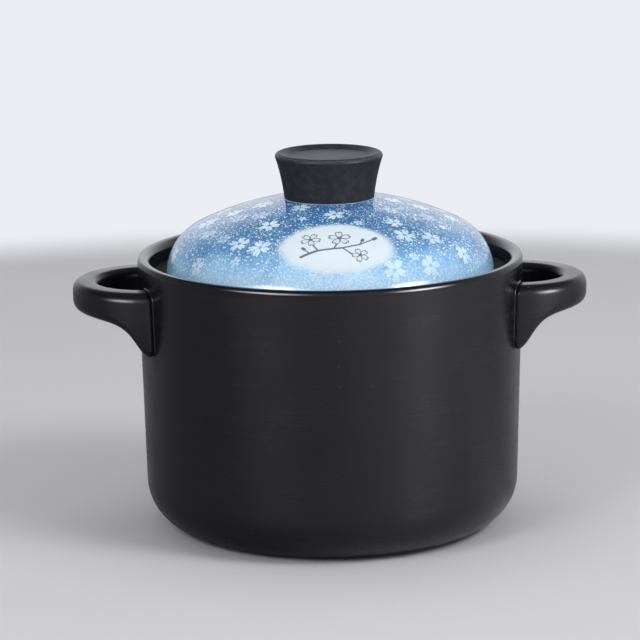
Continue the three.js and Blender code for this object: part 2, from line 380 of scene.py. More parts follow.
def lofted(name, rings, material, looped=False):
    """A skin over rings of equal length, with a cap on each end unless it runs round in a loop."""
    count = len(rings[0])
    vertices = [p for ring in rings for p in ring]
    faces = []
    for a in range(len(rings) if looped else len(rings) - 1):
        b = (a + 1) % len(rings)
        for i in range(count):
            j = (i + 1) % count
            faces.append((a * count + i, b * count + i, b * count + j, a * count + j))
    if not looped:
        last = (len(rings) - 1) * count
        faces.append(tuple(range(count)))
        faces.append(tuple(last + i for i in reversed(range(count))))
    return make_object(name, vertices, faces, [material])


def slip_rings():
    """Rings of the bead of slip that runs round the right handle's front foot, on the wall."""
    bottom = HANDLE_TOP - FOOT_HEIGHT - SLIP_OFFSET
    outline = bar_section(bottom, HANDLE_TOP + SLIP_OFFSET, BAR_WIDTH + 2 * SLIP_OFFSET)
    dense = []
    for start, end in zip(outline, outline[1:] + outline[:1]):
        pieces = max(1, round(math.dist(start, end) / SLIP_STEP))
        dense += [start, *line(start, end, pieces)[:-1]]
    path = [Vector((wall_reach(loop_bend + y, z), -(loop_bend + y), z)) for y, z in dense]
    lowest = min(p.z for p in path)
    angles = [2 * math.pi * k / SLIP_SIDES for k in range(SLIP_SIDES)]
    rings = []
    for i, centre in enumerate(path):
        ahead = (path[(i + 1) % len(path)] - path[i - 1]).normalized()
        out = Vector((centre.x, centre.y, 0)).normalized()
        side = ahead.cross(out).normalized()
        radius = SLIP_BEAD * min(1, SLIP_END + (centre.z - lowest) / SLIP_TAPER)
        rings.append([centre + radius * (math.cos(a) * side + math.sin(a) * out) for a in angles])
    return rings


def mirror_rings(rings, x=1, y=1):
    """The rings turned over across an axis, with their order kept so that the faces still point out."""
    flipped = [[Vector((x * p.x, y * p.y, p.z)) for p in ring] for ring in rings]
    return flipped if x * y > 0 else [ring[::-1] for ring in flipped]


def raise_back(rings, rise):
    """The rings raised bit by bit from a handle's front arm to its back arm."""
    raised = []
    for ring in rings:
        shares = [min(max(0.5 + p.y / LOOP_WIDTH, 0), 1) for p in ring]
        raised.append([p + Vector((0, 0, rise * share)) for p, share in zip(ring, shares)])
    return raised


DOT_LEAST = 0.3  # the smallest dot's radius, of the largest
DOT_SOLID = 0.75  # share of a dot's radius within which it is solid
DOT_FAINT = 0.5  # strength of the faintest dot


class Graph:
    """Short calls that add nodes to a material's, a lamp's or the world's tree."""

    def __init__(self, tree):
        self.tree = tree
        tree.nodes.clear()

    def node(self, kind, values=None, **settings):
        made = self.tree.nodes.new(kind)
        for name, value in settings.items():
            setattr(made, name, value)
        for key, value in (values or {}).items():
            self.feed(made.inputs[key], value)
        return made

    def feed(self, socket, value):
        if isinstance(value, bpy.types.NodeSocket):
            self.tree.links.new(value, socket)
        elif value is not None:
            socket.default_value = value

    def math(self, operation, a, b=None, c=None, clamp=False):
        values = {0: a, 1: b, 2: c}
        return self.node("ShaderNodeMath", values, operation=operation, use_clamp=clamp).outputs[0]

    def vector(self, operation, a, b=None, c=None, scale=None):
        made = self.node("ShaderNodeVectorMath", {0: a, 1: b, 2: c}, operation=operation)
        if scale is not None:
            self.feed(made.inputs["Scale"], scale)
        return made.outputs["Value" if operation in ("LENGTH", "DOT_PRODUCT", "DISTANCE") else "Vector"]

    def mix(self, share, a, b):
        made = self.node("ShaderNodeMix", {0: share, 6: a, 7: b}, data_type="RGBA")
        return made.outputs[2]

    def mix_vector(self, share, a, b):
        made = self.node("ShaderNodeMix", {0: share, 4: a, 5: b}, data_type="VECTOR")
        return made.outputs[1]

    def smooth(self, value, start, end, low=0.0, high=1.0):
        """The value eased from low at start to high at end."""
        values = {"Value": value, "From Min": start, "From Max": end, "To Min": low, "To Max": high}
        return self.node("ShaderNodeMapRange", values, interpolation_type="SMOOTHSTEP").outputs["Result"]

    def ramp(self, value, stops):
        made = self.node("ShaderNodeValToRGB", {"Fac": value})
        elements = made.color_ramp.elements
        for element, (position, color) in zip(elements, (stops[0], stops[-1])):
            element.position = position
            element.color = (*color, 1)
        for position, color in stops[1:-1]:
            elements.new(position).color = (*color, 1)
        return made.outputs["Color"]

    def object_position(self):
        return self.node("ShaderNodeTexCoord").outputs["Object"]

    def height(self, position):
        return self.node("ShaderNodeSeparateXYZ", {0: position}).outputs[2]

    def noise(self, position, scale, detail=2.0, roughness=0.5):
        values = {"Vector": position, "Scale": scale, "Detail": detail, "Roughness": roughness}
        return self.node("ShaderNodeTexNoise", values).outputs["Fac"]

    def stretched(self, position, scale):
        return self.vector("MULTIPLY", position, scale)

    def bump(self, height, distance, strength=1.0, normal=None):
        values = {"Height": height, "Distance": distance, "Strength": strength, "Normal": normal}
        return self.node("ShaderNodeBump", values).outputs["Normal"]

    def dots(self, position, cell, size, share, dimensions="3D"):
        """Round dots of random radius, up to a size given as a share of the cell, and of random strength.
        A random share of the cells holds one."""
        values = {"Vector": position, "Scale": 1 / cell}
        cells = self.node("ShaderNodeTexVoronoi", values, voronoi_dimensions=dimensions)
        chance = self.node("ShaderNodeSeparateColor", {0: cells.outputs["Color"]}).outputs
        reach = self.math("MULTIPLY_ADD", chance[0], (1 - DOT_LEAST) * size, DOT_LEAST * size)
        dot = self.smooth(cells.outputs["Distance"], reach, self.math("MULTIPLY", reach, DOT_SOLID))
        strength = self.math("MULTIPLY_ADD", chance[2], 1 - DOT_FAINT, DOT_FAINT)
        dot = self.math("MULTIPLY", dot, strength)
        return self.math("MULTIPLY", dot, self.math("LESS_THAN", chance[1], share))


def new_material(name):
    material = bpy.data.materials.new(name)
    material.use_nodes = True
    return material, Graph(material.node_tree)


def surface(graph, **sockets):
    """Ends a material with one shader. A name's underscores stand for the socket's spaces."""
    names = {name.replace("_", " "): value for name, value in sockets.items()}
    shader = graph.node("ShaderNodeBsdfPrincipled", names)
    graph.node("ShaderNodeOutputMaterial", {"Surface": shader.outputs["BSDF"]})


# Black glazes
SATIN_DARK = (0.0042, 0.0032, 0.0066, 1)
SATIN_PALE = (0.0068, 0.0054, 0.0100, 1)
SATIN_SPECK = (0.16, 0.155, 0.16, 1)
SATIN_ROUGHNESS = (0.21, 0.29)
SATIN_SHINE = 0.37
RIM_WORN = (POT_HEIGHT - 5 * MM, POT_HEIGHT - 3 * MM)  # above this height the glaze is rubbed smoother
RIM_POLISH = 0.6  # share of its roughness that it keeps there
TURNING_LINES = (9, 9, 420)  # how closely the noise repeats along each axis
MATTE_DARK = (0.0095, 0.0103, 0.0168, 1)
MATTE_PALE = (0.0212, 0.0225, 0.0322, 1)
MATTE_SPECK = (0.20, 0.20, 0.22, 1)
# paler grey of the painted highlight along the knob's outer top edge
MATTE_HIGHLIGHT = (0.088, 0.088, 0.094, 1)
MATTE_ROUGHNESS = (0.62, 0.37)  # on the knob's side, and on its top
MATTE_SHINE = 0.225
TOP_WORN = (KNOB_CREST - 3.1 * MM, KNOB_CREST - 2.4 * MM)  # the knob is rubbed smooth above this height
HIGHLIGHT_RADII = (KNOB_RADIUS - 1.5 * MM, KNOB_RADIUS - 0.6 * MM)  # the painted highlight, a paler grainy band, lies this far from the axis
HIGHLIGHT_HEIGHTS = (KNOB_CREST - 2.2 * MM, KNOB_CREST - 0.8 * MM)  # and above this height


def black_glaze_material():
    """Satin black glaze: a little cloudy, with fine turning lines, a dry grain and few pale specks."""
    material, g = new_material("satin_black_glaze")
    position = g.object_position()
    body = g.mix(g.noise(position, scale=22, detail=3), SATIN_DARK, SATIN_PALE)
    specks = g.dots(position, cell=5.5 * MM, size=0.075, share=0.5)
    color = g.mix(g.math("MULTIPLY", specks, 0.5), body, SATIN_SPECK)
    lines = g.noise(g.stretched(position, TURNING_LINES), scale=1, detail=2)
    uneven = g.math("ADD", lines, g.noise(position, scale=40, detail=2))
    roughness = g.smooth(uneven, 0.6, 1.4, *SATIN_ROUGHNESS)
    polish = g.smooth(g.height(position), *RIM_WORN, 1.0, RIM_POLISH)
    roughness = g.math("MULTIPLY", roughness, polish)
    grain = g.noise(position, scale=1500, detail=3, roughness=0.6)
    normal = g.bump(lines, distance=0.06 * MM, strength=0.5)
    normal = g.bump(grain, distance=0.03 * MM, strength=0.6, normal=normal)
    surface(g, Base_Color=color, Roughness=roughness, Normal=normal, Specular_IOR_Level=SATIN_SHINE)
    return material


def knob_material():
    """Matte black glaze with a dry, finely pitted face, rubbed smoother on top, and with a painted highlight
    along its outer top edge.
    """
    material, g = new_material("matte_black_glaze")
    position = g.object_position()
    cloud = g.smooth(g.noise(position, scale=210, detail=5, roughness=0.7), 0.33, 0.67)
    body = g.mix(cloud, MATTE_DARK, MATTE_PALE)
    specks = g.dots(position, cell=2.2 * MM, size=0.10, share=0.6)
    color = g.mix(g.math("MULTIPLY", specks, 0.35), body, MATTE_SPECK)
    grain = g.noise(position, scale=1300, detail=4, roughness=0.65)
    height = g.height(position)
    from_axis = g.vector("LENGTH", g.stretched(position, (1, 1, 0)))
    # painted highlight: a paler grainy band round the knob's outer top edge
    edge = g.math("MULTIPLY", g.smooth(from_axis, *HIGHLIGHT_RADII), g.smooth(height, *HIGHLIGHT_HEIGHTS))
    painted_highlight = g.math("MULTIPLY", edge, g.smooth(grain, 0.38, 0.62, low=0.1, high=1.0))
    color = g.mix(painted_highlight, color, MATTE_HIGHLIGHT)
    handled = g.smooth(height, *TOP_WORN, *MATTE_ROUGHNESS)
    roughness = g.math("MULTIPLY_ADD", grain, 0.14, handled)
    normal = g.bump(grain, distance=0.08 * MM, strength=0.8)
    surface(g, Base_Color=color, Roughness=roughness, Normal=normal, Specular_IOR_Level=MATTE_SHINE)
    return material


# Bare clay and clear glaze
CLAY_ROUGHNESS = 0.86
GROG_SHADE = 0.4  # how dark the specks of grog are, of the clay's dark shade
CLEAR_ROUGHNESS = 0.12
CLEAR_SPECK = (0.25, 0.2, 0.16, 1)


def clay_material(name, dark, pale):
    """Unglazed fired clay with grog specks."""
    material, g = new_material(name)
    position = g.object_position()
    cloud = g.noise(position, scale=180, detail=4, roughness=0.6)
    body = g.mix(cloud, (*dark, 1), (*pale, 1))
    grog = g.dots(position, cell=1.6 * MM, size=0.2, share=0.5)
    color = g.mix(g.math("MULTIPLY", grog, 0.5), body, (*(GROG_SHADE * c for c in dark), 1))
    grain = g.noise(position, scale=1100, detail=4, roughness=0.7)
    normal = g.bump(grain, distance=0.12 * MM, strength=0.8)
    surface(g, Base_Color=color, Roughness=CLAY_ROUGHNESS, Normal=normal)
    return material


def pale_glaze_material(name, dark, pale):
    """Clear glaze over pale clay, or, on the bead round the knob's foot, a pale blue that is partly its own
    and partly a painted highlight.
    """
    material, g = new_material(name)
    position = g.object_position()
    color = g.mix(g.noise(position, scale=35, detail=3), (*dark, 1), (*pale, 1))
    specks = g.dots(position, cell=6 * MM, size=0.06, share=0.5)
    color = g.mix(g.math("MULTIPLY", specks, 0.5), color, CLEAR_SPECK)
    normal = g.bump(g.noise(position, scale=90, detail=2), distance=0.15 * MM, strength=0.4)
    surface(g, Base_Color=color, Roughness=CLEAR_ROUGHNESS, Normal=normal)
    return material


# The lid's print is laid out on the dome unrolled from its top: x to the right, y to the back.
# Blossoms are listed by degrees round from the front, distance from the dome's top, radius and turn, in
# millimetres and degrees.
FRONT_BLOSSOMS = [
    (-33, 32, 5.4, 10),
    (1, 41, 5.8, 40),
    (-39, 58, 6.0, 25),
    (-44, 79, 6.0, 5),
    (-33, 80, 6.6, 50),
    (-58, 99, 5.4, 30),
    (37, 57, 5.0, 15),
    (34, 71, 6.3, 60),
    (46, 78, 5.8, 20),
    (20.5, 96, 6.8, 0),
    (35.5, 96, 6.5, 33),
    (55, 94, 5.8, 55),
]
SMALL_BLOSSOMS = [
    (-40, 92, 3.3, 0),
    (30, 89, 2.7, 20),
    (15, 53, 2.8, 45),
    (-22, 47, 2.4, 30),
    (62, 72, 2.6, 10),
]
FAINT_BLOSSOMS = [
    (-56, 49, 5.4, 0),
    (-55, 77, 4.6, 20),
    (-68, 78, 5.2, 40),
    (-67, 57, 5.2, 60),
    (51, 43, 5.4, 30),
    (-7, 96, 6.2, 10),
    (2, 101, 4.6, 50),
    (66, 60, 5.0, 25),
]
PRINT_SPREAD = 1.08  # blossoms come out this much larger than they are listed
PETALS = 5
PETAL_MIDDLE = 0.57  # petal sizes are shares of the blossom's radius
PETAL_LENGTH = 0.46
PETAL_WIDTH = 0.30
PETAL_TAPER = 0.55
NOTCH_DEPTH = 0.86
NOTCH_SLOPE = 0.75
NOTCH_EDGE = 2.2  # how sharply a petal ends at its notch
SCATTER_SEED = 7
SCATTER_TRIES = 900
SCATTER_SPACING = 15.5  # least distance between the blossoms scattered round the back
SCATTER_ANGLES = (76, 284)  # degrees round from the front
SCATTER_REACH = (33, 101)  # distance from the dome's top
SCATTER_SIZES = (4.8, 6.6)

DOME_RUN = 113 * MM  # from the dome's top to its edge
PRINT_START = 0.067  # how far down the dome, of 1, the print's shades start
FRONT_PALING = 0.21  # how much further, of 1, the blue has paled at the front edge
PRINT_CLOUD = 0.35  # how far clouds shift the shades
PRINT_BLUES = [
    (0.20, (0.047, 0.163, 0.400)),
    (0.50, (0.055, 0.170, 0.370)),
    (0.75, (0.102, 0.266, 0.522)),
    (0.90, (0.308, 0.568, 0.868)),
    (1.00, (0.495, 0.735, 0.980)),
]
MOTTLE = (0.87, 1.13)  # the blue's least and most brightness in its fine mottle
BLOSSOM_WHITE = (0.66, 0.85, 0.96, 1)
BLOSSOM_VEIL = (0.70, 1.0)  # how much white a blossom has where it is thin, and where it is full
FAINT_SHARE = 0.38
SPATTER_WHITE = (0.73, 0.94, 1.0, 1)
SPATTER_DRIFT = (0.24, 0.78)  # share of the cells with a dot, between the drifts and in them
SPATTER_LOW = 0.75  # how much of that share is left at the lid's edge
FINE_DOTS = (1.3 * MM, 0.40)  # width of a cell, and the largest dot's radius as a share of it
MEDIUM_DOTS = (2.4 * MM, 0.33)
COARSE_DOTS = (4.0 * MM, 0.20)
COARSE_SHARES = (0.55, 0.9)  # share of the cells with a coarse dot, high on the lid and low on it
LID_ROUGHNESS = 0.07

# The oval at the front, and the sprig on it in millimetres from its middle
OVAL_PLACE = 75  # from the dome's top
OVAL_SIZE = (33.5, 21.5)
OVAL_EDGE = (1.08, 0.86)  # of its size: where its white starts, and where it is full
OVAL_WAVER = 0.12
OVAL_WHITE = (0.69, 0.79, 0.86, 1)
OVAL_SHARE = 0.96
SPRIG_TWIGS = [
    ((-21, -8), (-11, -4.5), 0.80),
    ((-11, -4.5), (3, -3), 0.70),
    ((3, -3), (13, 0.5), 0.60),
    ((13, 0.5), (21, 6.5), 0.48),
    ((-11, -4.5), (-14, 2), 0.48),
    ((3, -3), (9, -9), 0.48),
    ((-2, -3.6), (1, 2.5), 0.48),
    ((13, 0.5), (14.5, 4), 0.40),
    ((-16, -6.2), (-18.5, -2.5), 0.40),
]
SPRIG_BUDS = [
    ((21.2, 6.7), (22.4, 8.0), 1.15),
    ((14.6, 4.2), (15.1, 5.6), 1.0),
    ((-18.6, -2.3), (-19.4, -1.0), 1.0),
]
SPRIG_BLOSSOMS = [(-14.5, 6.5, 5.8, 15), (2.0, 6.5, 6.4, 50), (13.0, -8.5, 5.0, 30)]
STROKE_EDGE = (1.25, 0.75)  # of its listed width: where a stroke starts, and where it is full
OUTLINE_MIDDLE = 0.06  # how far inside a petal the middle of its outline runs
OUTLINE_EDGE = (0.17, 0.08)  # how far from that middle the ink starts, and where it is full
INK = (0.035, 0.038, 0.045, 1)
INK_SHARE = 0.85
INK_WASH = 0.10


def print_place(angle, distance):
    """A place on the unrolled dome, in millimetres."""
    turn = math.radians(angle)
    return (distance * math.sin(turn), -distance * math.cos(turn))


def back_blossoms(taken):
    """Blossoms scattered over the rest of the dome, clear of those already there."""
    chance = random.Random(SCATTER_SEED)
    places = [print_place(angle, distance) for angle, distance, _, _ in taken]
    nearest, farthest = SCATTER_REACH
    made = []
    for _ in range(SCATTER_TRIES):
        angle = chance.uniform(*SCATTER_ANGLES)
        distance = math.sqrt(chance.uniform(nearest**2, farthest**2))
        size = chance.uniform(*SCATTER_SIZES)
        turn = chance.uniform(0, 360 / PETALS)
        place = print_place(angle, distance)
        if all(math.dist(place, other) > SCATTER_SPACING for other in places):
            places.append(place)
            made.append((angle, distance, size, turn))
    return made


def placed(blossoms):
    """Blossoms given round the dome, as nearest_blossom takes them."""
    return [(*print_place(angle, run), PRINT_SPREAD * size, turn) for angle, run, size, turn in blossoms]


def nearest_blossom(g, place, blossoms):
    """Place within the nearest blossom, in units of its radius, with its turn as the third number.
    Each blossom is (x, y, radius, turn), in millimetres and degrees."""
    best = distance = None
    for x, y, size, turn in blossoms:
        scale = 1 / (size * MM)
        offset = (-x / size, -y / size, math.radians(turn))
        local = g.vector("MULTIPLY_ADD", place, (scale, scale, 0), offset)
        length = g.vector("DISTANCE", place, (x * MM, y * MM, 0))
        if best is None:
            best, distance = local, length
            continue
        best = g.mix_vector(g.math("LESS_THAN", length, distance), best, local)
        distance = g.math("MINIMUM", distance, length)
    return best


def petal_field(g, local):
    """Notched petals round a middle: above 0 inside, and falling off outside. Also the distance from the
    middle and from the petal's own line."""
    parts = g.node("ShaderNodeSeparateXYZ", {0: local})
    x, y, turn = parts.outputs
    radius = g.math("SQRT", g.math("MULTIPLY_ADD", x, x, g.math("MULTIPLY", y, y)))
    angle = g.math("ADD", g.math("ARCTAN2", y, x), turn)
    folded = g.math("WRAP", angle, math.pi / PETALS, -math.pi / PETALS)
    along = g.math("MULTIPLY", radius, g.math("COSINE", folded))
    across = g.math("ABSOLUTE", g.math("MULTIPLY", radius, g.math("SINE", folded)))
    length = g.math("MULTIPLY_ADD", along, 1 / PETAL_LENGTH, -PETAL_MIDDLE / PETAL_LENGTH)
    taper = g.math("MULTIPLY_ADD", along, -PETAL_TAPER, 1 + PETAL_TAPER * PETAL_MIDDLE)
    width = g.math("MULTIPLY", g.math("MULTIPLY", across, taper), 1 / PETAL_WIDTH)
    oval = g.math("SQRT", g.math("MULTIPLY_ADD", length, length, g.math("MULTIPLY", width, width)))
    notch_line = g.math("MULTIPLY_ADD", along, NOTCH_SLOPE, -NOTCH_SLOPE * NOTCH_DEPTH)
    notch = g.math("SUBTRACT", across, notch_line)
    inside = g.math("SUBTRACT", 1.0, oval)
    field = g.math("MINIMUM", inside, g.math("MULTIPLY", notch, NOTCH_EDGE))
    return field, radius, across


def print_shade(g, place):
    """How far down the dome's shades a place lies, of 1: further at the front, and shifted by clouds."""
    run = g.vector("LENGTH", place)
    cloud = g.noise(place, scale=38, detail=3, roughness=0.55)
    to_front = g.math("MAXIMUM", g.vector("DOT_PRODUCT", place, (0, -1 / DOME_RUN, 0)), 0)
    lean = g.math("MULTIPLY", g.math("MULTIPLY", to_front, to_front), FRONT_PALING)
    shade = g.math("MULTIPLY_ADD", run, 1 / DOME_RUN, g.math("SUBTRACT", lean, PRINT_START))
    return g.math("MULTIPLY_ADD", g.math("SUBTRACT", cloud, 0.5), PRINT_CLOUD, shade)


def spatter(g, place, shade):
    """How much white spatter lies at a place: fine and medium dots in drifts, and coarse ones."""
    drift = g.smooth(g.noise(place, scale=62, detail=3, roughness=0.6), 0.38, 0.62, *SPATTER_DRIFT)
    drift = g.math("MULTIPLY", drift, g.smooth(shade, 0.65, 1.0, low=1.0, high=SPATTER_LOW))
    fine = g.dots(place, *FINE_DOTS, drift, "2D")
    medium = g.dots(place, *MEDIUM_DOTS, g.math("MULTIPLY", drift, 0.8), "2D")
    often = g.smooth(shade, 0.45, 0.75, *COARSE_SHARES)
    coarse = g.dots(place, *COARSE_DOTS, often, "2D")
    return g.math("MAXIMUM", fine, g.math("MAXIMUM", medium, coarse))


def oval_white(g, place, from_middle):
    """How much white the soft oval lays at a place."""
    share = g.vector("DIVIDE", from_middle, (OVAL_SIZE[0] * MM, OVAL_SIZE[1] * MM, 1))
    waver = g.math("SUBTRACT", g.noise(place, scale=90, detail=2), 0.5)
    reach = g.math("MULTIPLY_ADD", waver, OVAL_WAVER, g.vector("LENGTH", share))
    return g.math("MULTIPLY", g.smooth(reach, *OVAL_EDGE), OVAL_SHARE)


def blossom_white(g, place):
    """How much white the bright blossoms lay at a place, thinner along the veins and in the hearts."""
    blossoms = FRONT_BLOSSOMS + SMALL_BLOSSOMS
    blossoms = blossoms + back_blossoms(blossoms + FAINT_BLOSSOMS)
    petals, radius, across = petal_field(g, nearest_blossom(g, place, placed(blossoms)))
    bright = g.smooth(petals, 0.0, 0.12)
    vein = g.math("MAXIMUM", g.smooth(across, 0.02, 0.08), g.smooth(radius, 0.75, 0.5))
    heart = g.smooth(radius, 0.06, 0.24)
    veil = g.smooth(g.noise(place, scale=75, detail=3, roughness=0.7), 0.35, 0.65, *BLOSSOM_VEIL)
    full = g.math("MULTIPLY_ADD", g.math("MULTIPLY", vein, heart), 0.5, 0.5)
    return g.math("MULTIPLY", bright, g.math("MULTIPLY", veil, full))


def sprig_ink(g, place):
    """How much ink the sprig lays at a place: twigs, outlined blossoms and buds."""
    ink = None
    for start, end, size in SPRIG_TWIGS + SPRIG_BUDS:
        a = Vector((*start, 0)) * MM
        b = Vector((*end, 0)) * MM
        reach = b - a
        offset = g.vector("SUBTRACT", place, tuple(a))
        along = g.vector("DOT_PRODUCT", offset, tuple(reach))
        share = g.math("DIVIDE", along, reach.length_squared, clamp=True)
        nearest = g.vector("SCALE", tuple(reach), scale=share)
        distance = g.vector("DISTANCE", offset, nearest)
        stroke = g.smooth(distance, *(edge * size * MM for edge in STROKE_EDGE))
        ink = stroke if ink is None else g.math("MAXIMUM", ink, stroke)
    field, radius, _ = petal_field(g, nearest_blossom(g, place, SPRIG_BLOSSOMS))
    from_outline = g.math("ABSOLUTE", g.math("SUBTRACT", field, OUTLINE_MIDDLE))
    outline = g.smooth(from_outline, *OUTLINE_EDGE)
    heart = g.smooth(radius, 0.2, 0.12)
    wash = g.math("MULTIPLY", g.smooth(field, 0, 0.1), INK_WASH)
    drawn = g.math("MAXIMUM", g.math("MAXIMUM", outline, heart), wash)
    clear = g.smooth(field, -0.05, 0.05)
    ink = g.math("MAXIMUM", g.math("MULTIPLY", ink, g.math("SUBTRACT", 1.0, clear)), drawn)
    return g.math("MULTIPLY", ink, INK_SHARE)


def printed_lid_material():
    """Glossy clear glaze over the printed dome: blue that pales to the edge, blossoms, white spatter
    and a soft white oval with a sprig in ink."""
    material, g = new_material("printed_blue_glaze")
    position = g.object_position()
    place = g.node("ShaderNodeAttribute", attribute_name="unrolled").outputs["Vector"]
    shade = print_shade(g, place)
    blue = g.ramp(shade, PRINT_BLUES)
    mottle = g.smooth(g.noise(place, scale=820, detail=1), 0.3, 0.7, *MOTTLE)
    blue = g.vector("SCALE", blue, scale=mottle)
    petals, _, _ = petal_field(g, nearest_blossom(g, place, placed(FAINT_BLOSSOMS)))
    faint = g.math("MULTIPLY", g.smooth(petals, 0.0, 0.14), FAINT_SHARE)
    color = g.mix(faint, blue, BLOSSOM_WHITE)
    color = g.mix(spatter(g, place, shade), color, SPATTER_WHITE)
    from_middle = g.vector("SUBTRACT", place, (0, -OVAL_PLACE * MM, 0))
    color = g.mix(oval_white(g, place, from_middle), color, OVAL_WHITE)
    color = g.mix(blossom_white(g, place), color, BLOSSOM_WHITE)
    color = g.mix(sprig_ink(g, from_middle), color, INK)
    normal = g.bump(g.noise(position, scale=70, detail=2), distance=0.25 * MM, strength=0.35)
    surface(g, Base_Color=color, Roughness=LID_ROUGHNESS, Normal=normal)
    return material


def unroll_dome(piece):
    """Gives each point of the lid its place on the dome unrolled from its top."""
    flat = piece.data.attributes.new("unrolled", "FLOAT_VECTOR", "POINT")
    for vertex, item in zip(piece.data.vertices, flat.data):
        across = Vector((vertex.co.x, vertex.co.y, 0))
        run = dome_run(across.length, vertex.co.z - lid_seat)
        item.vector = across.normalized() * run


def place_piece(piece, body, node=None):
    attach(piece, body)
    if node:
        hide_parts(node)


black_glaze = black_glaze_material()
matte_black = knob_material()
# bare clay of the ledge and foot ring: its own brownish tone, darkened to near black by painted shade of the
# recess under the lid
clay_and_painted_shade = clay_material("clay_and_painted_shade", (0.020, 0.018, 0.018), (0.042, 0.038, 0.037))
pale_clay = clay_material("pale_clay", (0.46, 0.41, 0.35), (0.60, 0.55, 0.48))
cream_glaze = pale_glaze_material("cream_glaze", (0.60, 0.57, 0.50), (0.72, 0.70, 0.64))
# the bead round the knob's foot: paler than the lid's blue beside it, partly a painted highlight
bead_glaze_and_highlight = pale_glaze_material("bead_glaze_and_highlight", (0.17, 0.26, 0.43), (0.32, 0.42, 0.58))
blue_print = printed_lid_material()

pot_shell = turned("pot_shell", pot_runs(black_glaze, clay_and_painted_shade), TURN_STEPS)
place_piece(pot_shell, "pot", "pot_body")
right = handle_rings()
place_piece(lofted("handle_right", right, black_glaze), "pot", "right_handle")
left = raise_back(mirror_rings(right, -1, -1), LEFT_RISE)
place_piece(lofted("handle_left", left, black_glaze), "pot", "left_handle")
bead = slip_rings()
for side, x, rise in (("right", 1, 0), ("left", -1, LEFT_RISE)):
    for end, y in (("front", 1), ("back", -1)):
        rings = raise_back(mirror_rings(bead, x, y), rise)
        place_piece(lofted(f"slip_{side}_{end}", rings, black_glaze, looped=True), "pot")

lid_shell = turned("lid_shell", lid_runs(blue_print, cream_glaze, pale_clay), TURN_STEPS)
unroll_dome(lid_shell)
place_piece(lid_shell, "lid", "lid")
place_piece(turned("knob", knob_runs(matte_black), KNOB_STEPS), "lid", "lid_knob")
place_piece(turned("knob_bead", meniscus_runs(bead_glaze_and_highlight), KNOB_STEPS, closed=True), "lid")

# Stage: a grey table on a white ground, under a pale surround that is dim overhead
TABLE_RADIUS = 6.0
TABLE_EDGE = (0.80, 0.95)  # the grey table turns to the white ground over this distance
TABLE_GREY = (0.60, 0.60, 0.62)
TABLE_SHEEN = 0.07  # share of a soft gloss on the table, where it is mirrored
SHEEN_ROUGHNESS = 0.5
TABLE_SIDES = (-0.55, 0.35)  # from left to right, where the mirrored table turns from dim to bright
TABLE_LEFT_SHARE = 0.42
TABLE_BACK = (-0.12, 0.20)  # how far to the back it dims again
TABLE_BACK_SHARE = 0.62
GROUND_WHITE = (0.83, 0.85, 0.91, 1)
SKY_DIM = (0.18, 0.19, 0.22, 1)
SKY_EDGE = (0.42, 0.62)  # how far up, of 1, the white surround gives way to the dim ceiling
SKY_TILT = 0.05  # how much higher that edge stands to the right
LEFT_DIM = (0.20, 0.95)  # how far to a side, of 1, the mirrored surround starts and ends dimming
RIGHT_DIM = (0.50, 0.97)
LEFT_SHARE = 0.34  # how much light each side keeps
RIGHT_SHARE = 0.70
AMBIENT = 0.44

# Lamps: degrees round from the front to the right, distance, height, width and height of the lamp's
# face, radiance of its middle, and whether it only shows mirrored or only lights the surfaces
LAMPS = [
    ("right_softbox", 52, 2.0, 0.50, (1.7, 0.80), 40.0, "mirrored"),
    ("left_softbox", -39, 2.0, 0.58, (2.3, 0.90), 22.5, "mirrored"),
    ("right_fill", 54, 1.6, 1.4, (1.4, 1.2), 16.7, "lighting"),
    ("left_fill", -38, 1.6, 1.1, (1.4, 1.2), 9.0, "lighting"),
    ("back_softbox", 180, 1.9, 0.80, (3.6, 1.7), 0.45, "mirrored"),
    ("top_softbox", 180, 0.4, 2.2, (2.4, 1.8), 2.2, "lighting"),
]

# Camera, fitted to the photograph
CAMERA_DISTANCE = 1.900
CAMERA_HEIGHT = 0.5251
CAMERA_ROUND = math.radians(-3)  # how far the camera stands round from the front
CAMERA_PITCH = math.radians(12.097)
CAMERA_YAW = math.radians(-0.185)
CAMERA_ROLL = math.radians(-0.698)
FOCAL_PIXELS = 3388.2
FRAME_PIXELS = 640
SENSOR = 36.0
CLIP_END = 30


def backdrop(g, share):
    """Whether a ray sees the surroundings as a backdrop, whether it is a mirrored one, and the backdrop's
    strength: 1 to the camera, and the share where it is mirrored."""
    path = g.node("ShaderNodeLightPath")
    camera = path.outputs["Is Camera Ray"]
    mirrored = g.math("MAXIMUM", path.outputs["Is Glossy Ray"], path.outputs["Is Transmission Ray"])
    return g.math("MAXIMUM", camera, mirrored), mirrored, g.math("MAXIMUM", camera, share)


